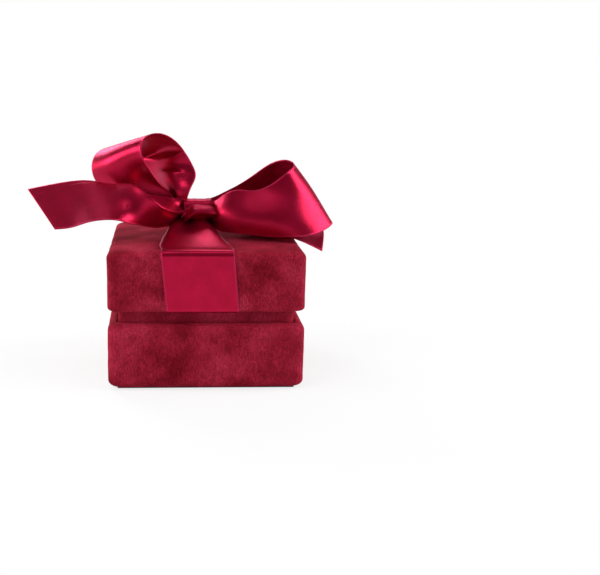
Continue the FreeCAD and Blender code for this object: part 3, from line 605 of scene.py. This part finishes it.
def pleat(near, far, along, weights, across_count, cut, middle=0.5, fullness=1.0):
    """Fills the gap between a ribbon's two edges with folds, so that it stays as wide as it was cut.

    weights (n, MODES + 2) says how much of each fold, from one broad swell to six narrow pleats,
    and then how much of a single ridge and where across the ribbon it lies."""
    share = np.linspace(0, 1, across_count)
    phase = math.pi * share ** (math.log(0.5) / math.log(middle))
    shapes = np.stack([np.sin((mode + 1) * phase) / (mode + 1) ** 0.5 for mode in range(MODES)])
    place = weights[:, MODES + 1:]
    from_ridge = np.hypot(share - place, RIDGE_SOFTNESS)
    tent = 1 - from_ridge / np.where(share < place, np.maximum(place, 0.02), np.maximum(1 - place, 0.02))
    tent *= smooth(share / EDGE_FADE) * smooth((1 - share) / EDGE_FADE)
    chord = far - near
    width = np.linalg.norm(chord, axis=1)
    normal = unit(np.cross(along, chord))
    fold = weights[:, :MODES] @ shapes + weights[:, MODES:MODES + 1] * tent
    fold /= np.maximum(abs(fold).max(1, keepdims=True), 1e-6)
    fold = np.sign(fold) * abs(fold) ** fullness
    low, high = np.zeros(len(near)), np.full(len(near), DEEPEST)
    for _ in range(HALVINGS):
        guess = (low + high) / 2
        step = np.hypot(np.diff(fold, axis=1) * guess[:, None], width[:, None] / (across_count - 1))
        too_long = step.sum(1) > cut
        high = np.where(too_long, guess, high)
        low = np.where(too_long, low, guess)
    # a section that is flat, or already as wide as it was cut, has no fold to deepen
    depth = np.where((width < cut) & fold.any(1), (low + high) / 2, 0.0)
    depth = blurred(depth, max(len(depth) // DEPTH_BLUR, 1))
    # even spacing along the folded section, so that the weave isn't stretched
    surface = np.zeros((len(near), across_count, 3))
    for row in range(len(near)):
        step = np.hypot(np.diff(fold[row]) * depth[row], width[row] / (across_count - 1))
        measured = np.concatenate([[0], np.cumsum(step)])
        at = np.interp(np.linspace(0, measured[-1], across_count), measured, share)
        out = np.interp(at, share, fold[row]) * depth[row]
        surface[row] = near[row] + chord[row] * at[:, None] + normal[row] * out[:, None]
    return surface


def ribbon_surface(stations, count, across_count=65, offset=KNOT, middle=0.5, fullness=1.0):
    """Middle surface through stations, chosen to follow the photograph.

    Each holds its middle from the offset, the direction across, how far the ribbon is opened as a
    share of its width, its fold weights, and the width that shows where that isn't all of it."""
    middles = np.array([s[0] for s in stations], float) + offset
    across = unit(np.array([s[1] for s in stations], float))
    halves = across * np.array([s[2] for s in stations])[:, None] * RIBBON / 2
    weights = np.array([list(s[3]) + list(FLAT[len(s[3]):]) for s in stations], float)
    knots = np.concatenate([[0], np.cumsum(np.linalg.norm(np.diff(middles, axis=0), axis=1))])
    at = np.linspace(0, knots[-1], count)
    near, far = spline(knots, middles - halves, at), spline(knots, middles + halves, at)
    reach = count // WEIGHT_BLUR
    weights = np.stack([blurred(np.interp(at, knots, column), reach) for column in weights.T], 1)
    along = np.gradient((near + far) / 2, axis=0)
    shown = np.interp(at, knots, [s[4] if len(s) > 4 else RIBBON for s in stations])
    return pleat(near, far, along, weights, across_count, shown, middle, fullness)


LEFT_LOOP = [
    ((-3.4, 1.2, 1.3), (0, 1, 0), 0.20, (0, 0, 0.3, 0.5, 0.2, 0.2), 6.0),
    ((-4.6, 1.2, 1.9), (-0.5, 1, 0), 0.22, (0.3, 0, 0.3, 0.6, 0.2), 7.5),
    ((-6.1, 1.6, 4.2), (-4.4, 3.8, 0), 0.38, (0.6, 0.3, 0.4, 0.2, 0, 0), 12.0),
    ((-7.2, 3.4, 6.1), (-10.2, 7.5, -1), 0.60, (1.0, 0.3, 0, 0, 0, 0), 18.5),
    ((-7.7, 6.2, 9.0), (-14.3, 11.6, -2.0), 0.84, (1, 0.3, 0, 0, 0, 0)),
    ((-9.2, 8.0, 12.2), (-13.8, 12.6, -2.5), 0.93, (0.8, 0.3, 0, 0, 0, 0)),
    ((-14.0, 7.0, 17.8), (-14, 14, -5), 0.99, (-0.6, 0, 0, 0, 0, 0)),
    ((-20.0, 3.6, 20.8), (-14.5, 14.5, -5.5), 1.0, (-1, 0, 0, 0, 0, 0)),
    ((-24.6, 1.2, 19.4), (-16, 13.5, -6), 1.0, (-1, 0, 0, 0, 0, 0)),
    ((-26.0, -0.8, 14.6), (-16.5, 12.5, -7.5), 0.99, (-0.8, 0.3, 0, 0, 0, 0)),
    ((-23.6, -0.6, 9.4), (-15, 12, -8.5), 0.97, (-0.3, 0.5, 0.3, 0, 0, 0)),
    ((-18.4, 0.8, 4.6), (-12, 9.5, -6), 0.78, (-0.1, 0.4, 0.9, 0.1, 0, 0), 21.0),
    ((-10.6, 1.6, 0.9), (-5, 5, -3), 0.42, (0, 0.1, 0.8, 0.4, 0, 0), 13.0),
    ((-4.6, 1.4, -0.9), (0, 1, 0), 0.22, (0, 0, 0.3, 0.5, 0.3), 7.0),
    ((-3.4, 1.4, -0.8), (0, 1, 0), 0.20, (0, 0, 0.3, 0.5, 0.3), 6.0),
]
LEFT_TAIL = [
    ((-3.4, -1.8, 0.0), (0, 0, 1), 0.20, (0.2, 0, 0.4, 0.4, 0.2), 6.5),
    ((-4.5, -2.2, -0.2), (0, 0, 1), 0.26, (0.2, 0, 0.4, 0.4, 0.2, 0, -0.3, 0.3), 8.0),
    ((-8.8, -3.9, -0.9), (-1, 2.4, 8), 0.40, (0, 0, 0, 0, 0, 0, -1, 0.32), 13.5),
    ((-14.8, -7.0, -0.5), (-1, 4.6, 10), 0.50, (0, 0, 0, 0, 0, 0, -1, 0.38), 19.0),
    ((-18.8, -8.6, 0.6), (-1, 7.4, 9.2), 0.57, (0, 0, 0, 0, 0, 0, -1, 0.50), 20.5),
    ((-21.8, -9.4, 1.7), (-1, 12.2, 8.6), 0.76, (0, 0, 0, 0, 0, 0, -1, 0.70), 21.5),
    ((-25.0, -10.1, 2.7), (-1, 16, 7.6), 0.93, (0, 0, 0, 0, 0, 0, -1, 0.86)),
    ((-29.2, -10.8, 3.2), (-1, 18.3, 8.2), 0.982, (0.1, 0, 0, 0, 0, 0, -1, 0.93)),
    ((-34.0, -11.0, 3.3), (-1.5, 18, 9.6), 0.996, (0.3, 0, 0, 0, 0, 0, -0.5, 0.94)),
    ((-41.0, -11.0, 2.1), (-5, 17, 10.6), 1.0, (0.5, 0, 0, 0, 0, 0, 0, 0.9)),
    ((-49.0, -11.0, 0.7), (-10, 17, 9.8), 1.02, (1, 0, 0, 0, 0, 0, 0, 0.9)),
]
RIGHT_LOOP = [
    ((3.4, 2.2, 0.4), (0, 0, 1), 0.16, (0, 0, 0.3, 0.5, 0.2), 5.5),
    ((4.4, 2.3, 0.5), (0, 0, 1), 0.18, (0, 0, 0.3, 0.5, 0.2), 6.5),
    ((9.0, 2.8, 1.4), (0.5, 3, 6), 0.30, (-0.2, 0.2, 0.7, 0.3, 0, 0), 10.5),
    ((16.0, 3.0, 2.4), (1, 3, 13), 0.56, (-0.6, 0.4, 0.3, 0, 0, 0), 17.0),
    ((24.6, 2.0, 4.0), (-3, 2, 19), 0.86, (-1, 0.2, 0, 0, 0, 0), 21.5),
    ((32.0, 0.0, 5.0), (-7, 1, 20), 0.98, (-1, 0, 0, 0, 0, 0)),
    ((36.8, -4.0, 5.0), (-12.3, 2, 18.2), 1.0, (-1, 0, 0, 0, 0, 0)),
    ((34.4, -9.0, 3.3), (-12.5, 3, 18), 1.0, (-1, 0, 0, 0, 0, 0)),
    ((28.4, -11.4, 0.7), (-10, 7, 15.5), 0.90, (-1, 0, 0, 0, 0, 0), 20.2),
    ((19.4, -10.6, -0.7), (-5, 6, 13.5), 0.72, (-1, -0.3, 0, 0, 0, 0), 17.2),
    ((13.2, -8.4, -0.5), (-2, 5.5, 12.5), 0.66, (-1, -0.3, 0, 0, 0, 0), 15.8),
    ((8.4, -5.8, -1.6), (-1, 4.5, 11), 0.54, (-1, 0, 0.1, 0, 0, 0), 13.2),
    ((4.8, -3.2, -2.1), (0, 0.6, 1.5), 0.38, (-0.5, 0, 0.2, 0.2, 0), 9.2),
    ((3.4, -2.3, -1.3), (0, 0, 1), 0.30, (0, 0, 0.3, 0.3, 0), 7.4),
]
RIGHT_TAIL = [
    ((3.4, -0.2, -1.3), (0, 1, 0), 0.18, (0, 0, 0.3, 0.5, 0.2), 6.0),
    ((4.4, -0.2, -1.7), (0, 1, 0), 0.20, (0, 0, 0.3, 0.5, 0.2), 7.0),
    ((10.5, 0.6, -4.6), (1, 10, 0), 0.46, (0.1, 0.4, 0.7, 0, 0, 0), 14.0),
    ((18.5, 2.4, -7.0), (1.5, 14, 0.6), 0.76, (0.6, 0.5, 0.2, 0, 0, 0), 20.0),
    ((28.0, 3.8, -8.1), (1, 18, 0.8), 0.92, (1, 0.2, 0, 0, 0, 0)),
    ((33.0, 4.0, -8.8), (1.4, 18, 1.6), 0.98, (1, 0, 0, 0, 0, 0)),
    ((41.6, 4.2, -11.2), (2.4, 18, 4.0), 0.98, (1, 0, 0, 0, 0, 0)),
]


BOW = {"left_loop": (LEFT_LOOP, 240), "left_tail": (LEFT_TAIL, 150),
       "right_loop": (RIGHT_LOOP, 240), "right_tail": (RIGHT_TAIL, 130)}


def bow():
    for part, (stations, count) in BOW.items():
        strip(f"bow_{part}_ribbon", ribbon_surface(stations, count), "lid", [f"bow_{part}"])


# the gather, from the lid's front edge to the knot: inset from the lid's front face, height over the
# lid, how far its middle is aside of the knot's, opening, fold weights, width of ribbon showing
GATHER = [
    (3.5, 0.05, -0.6, 0.998, (-1, 0, 0), 22.0),
    (6.0, 0.15, -1.0, 0.993, (-1, 0, 0), 22.0),
    (8.5, 0.25, -1.3, 0.980, (-1, 0, -0.2), 22.0),
    (11.5, 0.30, -1.5, 0.95, (-1, 0.1, -0.3), 22.0),
    (15.0, 0.45, -1.7, 0.89, (-1, 0.2, -0.5), 21.8),
    (20.0, 0.90, -1.8, 0.78, (-1, 0.3, -0.8), 21.3),
    (23.0, 1.70, -1.8, 0.71, (-1, 0.3, -0.9), 20.5),
    (25.0, 2.70, -1.8, 0.63, (-1, 0.2, -0.9), 18.0),
    (27.0, 3.60, -1.8, 0.52, (-1, 0.1, -0.8), 14.5),
    (30.0, 4.20, -1.8, 0.44, (-1, 0, -0.8), 12.5),
]
BACK_DRAWN_IN = 0.7         # the back of the gather is drawn in tighter
DRAWN_IN_FROM = 12.0        # and from this inset on
BEND = 1.3                  # bend of the band over the lid's edge, tighter than the velvet under it
HOLLOW = 0.40               # where across the ribbon the middle of its folds lies
BAND_FULLNESS = 0.6         # under 1, the folds are broad and flat-topped
OFF_VELVET = 0.12
SLANT = 1.8                 # how far the band leans aside down the lid's face: right in front, left behind
CREASE_X = KNOT[0] - 0.7    # the band's middle at the lid's edge


def band(name, node, run, back=False):
    """Half of the band: in under the rim, up the lid's face, over its edge and gathered to the knot."""
    lift = THICKNESS / 2 + OFF_VELVET
    path = []
    for inset, z in (
        line_profile((CAVITY, LID_RIM - lift), (RIM, LID_RIM - lift), 4)
        + arc_profile((RIM, LID_RIM + RIM), RIM + lift, 270, 180, 7)
        + line_profile((-lift, LID_RIM + RIM), (-lift, LID_TOP - BEND), 26)[1:]
        + arc_profile((BEND, LID_TOP - BEND), BEND + lift, 180, 100, 8)
    ):
        fall = np.clip((LID_TOP - BEND - z) / (LID_TOP - LID_RIM), 0, 1)
        path.append(((CREASE_X + run * fall, -HALF + inset, z), (1, 0, 0), 1.0, FLAT))
    for inset, rise, aside, opening, weights, shown in GATHER:
        if back and inset > DRAWN_IN_FROM:
            opening, shown = opening * BACK_DRAWN_IN, shown * BACK_DRAWN_IN
        place = (KNOT[0] + aside, inset - HALF, LID_TOP + lift + rise)
        path.append((place, (1, 0, 0), opening, weights, shown))
    surface = ribbon_surface(path, 250, offset=np.zeros(3), middle=HOLLOW, fullness=BAND_FULLNESS)
    if back:
        surface = surface * np.array([1, -1, 1])
    return strip(name, surface, "lid", [node])


WRAP_TURN = -100, 268       # degrees round the knot, from the ribbon's one end to the other
WRAP_FOLD = 0.7             # the wrap's own layers, inside the knot's outline
WRAP_SQUARENESS = 0.75      # under 1, the knot's section is squarer than an ellipse
WAIST = 0.22                # how far the wrap is drawn in at its middle
# the folded ribbon's section: shares of its width, with places along the knot and heights over its core
PLACE_SHARES = [0, 0.16, 0.2, 0.24, 0.78, 0.82, 0.86, 1.0]
PLACES = [-1.0, -3.9, -KNOT_SIDE, -4.1, 4.1, KNOT_SIDE, 3.9, 1.0]
HEIGHT_SHARES = [0, 0.15, 0.2, 0.25, 0.77, 0.82, 0.87, 1.0]
HEIGHTS = [0, 0.05, 0.3, 0.6, 0.6, 0.3, 0.05, 0]


def knot_wrap():
    """The turn of ribbon round the bow: folded in three lengthwise and wound once round."""
    around, across = 130, 65
    turn = np.radians(np.linspace(*WRAP_TURN, around))
    fold = np.linspace(0, 1, across)
    x = np.interp(fold, PLACE_SHARES, PLACES)
    h = np.interp(fold, HEIGHT_SHARES, HEIGHTS)
    outer = smooth((fold - 0.2) / 0.1) * smooth((0.82 - fold) / 0.1)
    surface = np.zeros((around, across, 3))
    for row, angle in enumerate(turn):
        c, s = math.cos(angle), math.sin(angle)
        y = (KNOT_HALF_DEPTH - WRAP_FOLD) * np.sign(c) * abs(c) ** WRAP_SQUARENESS
        z = (KNOT_HALF_HEIGHT - WRAP_FOLD) * np.sign(s) * abs(s) ** WRAP_SQUARENESS
        normal = unit(np.array([0.0, c / KNOT_HALF_DEPTH, s / KNOT_HALF_HEIGHT]))
        lines = 0.05 * np.sin(1.3 * x + 1.6 * s + 0.6) + 0.03 * np.sin(2.9 * x - 2.0 * s)
        waist = WAIST * np.cos(x / KNOT_SIDE * math.pi / 2)
        rise = h + outer * (lines - waist)
        middle = KNOT + np.array([0, -y, z])
        surface[row] = middle + np.outer(x, [1, 0, 0]) + np.outer(rise, normal * [1, -1, 1])
    return strip("bow_knot_wrap", surface, "lid", ["bow_knot"])


KNOT_FOLD = [
    ((4.3, -2.4, -1.4), (0, -0.3, 1), 0.42, (0.2, 0, 0.2, 0.3, 0, 0)),
    ((3.5, -4.2, -1.7), (0.1, 0.2, 1), 0.49, (-0.6, 0.2, 0.2, 0.2, 0, 0)),
    ((0.8, -4.9, -1.75), (0.1, 0.35, 1), 0.54, (-0.8, 0.3, 0.2, 0.1, 0, 0)),
    ((-1.6, -5.0, -2.0), (-0.3, 0.25, 1), 0.53, (-0.7, 0.2, 0.5, 0.1, 0, 0)),
    ((-3.2, -4.9, -2.7), (-0.9, 0, 1), 0.38, (-0.3, 0.2, 0.7, 0.4, 0, 0)),
    ((-4.3, -4.4, -3.7), (-1, 0.1, 0.7), 0.22, (0, 0.2, 0.5, 0.7, 0, 0.3)),
    ((-4.4, -3.0, -4.2), (-1, 0.3, 0.5), 0.16, (0, 0, 0.2, 0.5, 0.3, 0.3)),
]
KNOT_FOLD_CUT = 11.0        # this end of the ribbon is folded in half


def knot_fold():
    """The ribbon's end, folded over and drawn slantwise across the front of the knot."""
    stations = [(m, d, opening * KNOT_FOLD_CUT / RIBBON, w, KNOT_FOLD_CUT) for m, d, opening, w in KNOT_FOLD]
    surface = ribbon_surface(stations, 90, 49)
    return strip("bow_knot_fold", surface, "lid", [], cut=KNOT_FOLD_CUT)


# ---------------------------------------------------------------- build
base_cover()
collar_cover()
lid_cover()
liner_cover()
ring_pad()
ceiling_pad()
knot_wrap()
knot_fold()
band("ribbon_band_front_satin", "ribbon_band_front", SLANT)
band("ribbon_band_back_satin", "ribbon_band_back", -SLANT, back=True)
bow()

for name, node in frame["nodes"].items():
    if node.hide_render:
        continue
    # the foot sheet is a real part, and its near-black finish is partly painted shade along the bottom of the
    # box
    finish = FOOT_PAPER_AND_SHADE if name == "base_foot_sheet" else BOARD
    node.data.materials.clear()
    node.data.materials.append(finish)

# ---------------------------------------------------------------- floor, light and camera
GLOW_NEAR, GLOW_REACH = 0.72, 0.16    # share of plain white by the object, and metres to all white


FLOOR_HALF = 3.0


def floor():
    mesh = bpy.data.meshes.new("floor")
    corners = [(x * FLOOR_HALF, y * FLOOR_HALF, 0) for x, y in ((-1, -1), (1, -1), (1, 1), (-1, 1))]
    mesh.from_pydata(corners, [], [(0, 1, 2, 3)])
    material, nodes, principled, links = new_material("floor_white")
    settings(principled, roughness=0.9)
    principled.inputs["Base Color"].default_value = (0.86, 0.86, 0.86, 1)
    glow = nodes.new("ShaderNodeEmission")
    glow.inputs["Color"].default_value = (1, 1, 1, 1)
    path = nodes.new("ShaderNodeLightPath")
    seen = math_node(nodes, links, "MAXIMUM", path.outputs["Is Camera Ray"], path.outputs["Is Glossy Ray"])
    place = nodes.new("ShaderNodeTexCoord").outputs["Object"]
    far = nodes.new("ShaderNodeVectorMath")
    far.operation = "LENGTH"
    links.new(place, far.inputs[0])
    spread = math_node(nodes, links, "DIVIDE", far.outputs["Value"], GLOW_REACH)
    white = math_node(nodes, links, "MULTIPLY_ADD", spread, 1 - GLOW_NEAR, GLOW_NEAR, clamp=True)
    share = math_node(nodes, links, "MULTIPLY", seen, white)
    mix = nodes.new("ShaderNodeMixShader")
    links.new(share, mix.inputs["Fac"])
    links.new(principled.outputs["BSDF"], mix.inputs[1])
    links.new(glow.outputs["Emission"], mix.inputs[2])
    links.new(mix.outputs["Shader"], nodes["Material Output"].inputs["Surface"])
    mesh.materials.append(material)
    plane = bpy.data.objects.new("floor", mesh)
    bpy.context.scene.collection.objects.link(plane)


# sines of angles: the backdrop's top, its soft edge, and how far it comes round to the front
BACKDROP_TOP, BACKDROP_FADE, BACKDROP_WRAP = 0.42, 0.30, 0.6
ROOM_LIGHT = 0.15


def world():
    scene_world = bpy.data.worlds.new("studio")
    scene_world.use_nodes = True
    nodes, links = scene_world.node_tree.nodes, scene_world.node_tree.links
    room = nodes["Background"]
    room.inputs["Color"].default_value = (1.0, 1.0, 1.0, 1)
    room.inputs["Strength"].default_value = ROOM_LIGHT
    white = nodes.new("ShaderNodeBackground")
    white.inputs["Color"].default_value = (1, 1, 1, 1)
    white.inputs["Strength"].default_value = 1.0
    path = nodes.new("ShaderNodeLightPath")
    # shiny things see the white backdrop too, up to where the room begins above it and in front
    way = nodes.new("ShaderNodeSeparateXYZ")
    links.new(nodes.new("ShaderNodeTexCoord").outputs["Generated"], way.inputs["Vector"])
    below = math_node(nodes, links, "MULTIPLY_ADD", way.outputs["Z"], -1 / BACKDROP_FADE,
                      BACKDROP_TOP / BACKDROP_FADE, clamp=True)
    behind = math_node(nodes, links, "MULTIPLY_ADD", way.outputs["Y"], 1 / BACKDROP_WRAP, 1.0, clamp=True)
    backdrop = math_node(nodes, links, "MULTIPLY", below, behind)
    mirrored = math_node(nodes, links, "MULTIPLY", path.outputs["Is Glossy Ray"], backdrop)
    seen = math_node(nodes, links, "MAXIMUM", path.outputs["Is Camera Ray"], mirrored)
    mix = nodes.new("ShaderNodeMixShader")
    links.new(seen, mix.inputs["Fac"])
    links.new(room.outputs["Background"], mix.inputs[1])
    links.new(white.outputs["Background"], mix.inputs[2])
    links.new(mix.outputs["Shader"], nodes["World Output"].inputs["Surface"])
    bpy.context.scene.world = scene_world


# name, place, height aimed at, size, power, and whether mirror-like rays see it: the two that they
# don't see light the object only, because the photograph's satin is dark where it would mirror them
LAMPS = [
    ("key_left", (-0.50, -0.45, 0.55), 0.03, (0.40, 0.35), 2.5, False),
    ("front_top", (0.0, -0.10, 0.72), 0.04, (0.45, 0.06), 0.6, True),
    ("side_left", (-0.68, -0.05, 0.25), 0.05, (0.30, 0.22), 2.6, True),
    ("fill_right", (0.55, -0.30, 0.35), 0.04, (0.25, 0.45), 1.1, False),
    ("back_left", (-0.38, 0.60, 0.42), 0.04, (0.34, 0.22), 3.0, True),
    ("back_top", (0.05, 0.55, 0.55), 0.04, (0.40, 0.20), 0.8, True),
    ("side_right", (0.70, 0.0, 0.38), 0.05, (0.40, 0.34), 4.0, True),
]


def softbox(name, place, aim_height, size, power, mirrored):
    light = bpy.data.lights.new(name, "AREA")
    light.shape = "RECTANGLE"
    light.size, light.size_y = size
    light.energy = power
    lamp = bpy.data.objects.new(name, light)
    lamp.location = place
    lamp.visible_glossy = mirrored
    sight = Vector((0, 0, aim_height)) - Vector(place)
    lamp.rotation_euler = sight.to_track_quat("-Z", "Y").to_euler()
    bpy.context.scene.collection.objects.link(lamp)


# the camera: place in millimetres, then its axes from pitch, yaw to the right and roll
CAMERA_PLACE = np.array([-11.773, -316.074, 97.326])
PITCH, YAW, ROLL = 0.22302, 0.05236, 0.01014
FOCAL_PX, FRAME_PX, AXIS_PX = 980.93, 600.0, 217.82
SENSOR = 36.0


def camera():
    forward = np.array([math.sin(YAW) * math.cos(PITCH), math.cos(YAW) * math.cos(PITCH), -math.sin(PITCH)])
    level = np.array([math.cos(YAW), -math.sin(YAW), 0.0])
    upright = np.cross(level, forward)
    right = math.cos(ROLL) * level + math.sin(ROLL) * upright
    up = -math.sin(ROLL) * level + math.cos(ROLL) * upright
    data = bpy.data.cameras.new("camera")
    data.sensor_width = SENSOR
    data.lens = FOCAL_PX / FRAME_PX * SENSOR
    data.shift_x = (FRAME_PX / 2 - AXIS_PX) / FRAME_PX
    data.clip_start, data.clip_end = 0.01, 20
    cam = bpy.data.objects.new("camera", data)
    pose = Matrix.Identity(4)
    for row in range(3):
        pose[row][0], pose[row][1], pose[row][2] = right[row], up[row], -forward[row]
        pose[row][3] = CAMERA_PLACE[row] * MM
    cam.matrix_world = pose
    bpy.context.scene.collection.objects.link(cam)
    bpy.context.scene.camera = cam


floor()
world()
for lamp_row in LAMPS:
    softbox(*lamp_row)
camera()
bpy.context.scene.view_settings.view_transform = "Standard"
